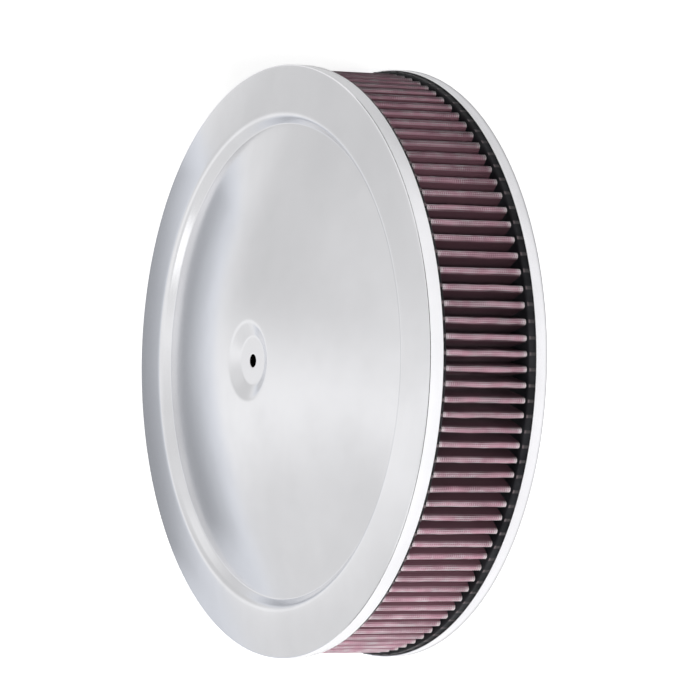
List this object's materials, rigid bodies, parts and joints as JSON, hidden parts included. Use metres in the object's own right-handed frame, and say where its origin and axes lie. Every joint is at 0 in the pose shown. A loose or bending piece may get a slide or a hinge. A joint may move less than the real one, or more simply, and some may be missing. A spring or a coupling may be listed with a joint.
{
  "type": "carburetor air cleaner",
  "caption": "Round open-element air cleaner for a carburetor: pressed lid and base pan clamp a pleated, oiled cotton ring in wire screens with moulded black end caps.",
  "frame": {"origin": "middle of the base pan's underside, in the plane of its seat, which is the lowest face", "axes": "+Z along the stud axis from the base pan to the lid; X and Y are free, because the part is round"},
  "size_m": [0.356, 0.356, 0.1002],
  "materials": {
    "plated_steel": "soft satin bright plating",
    "urethane": "moulded, slightly glossy",
    "oiled_cotton": "oiled gauze, deep red",
    "screen_wire": "fine woven wire, dull",
    "gasket_rubber": "matt"
  },
  "bodies": {
    "root": {"lid": "plated_steel", "base_pan": "plated_steel", "top_end_cap": "urethane", "bottom_end_cap": "urethane", "cotton_media": "oiled_cotton", "outer_screen": "screen_wire", "inner_screen": "screen_wire", "neck_gasket": "gasket_rubber"}
  },
  "joints": []
}
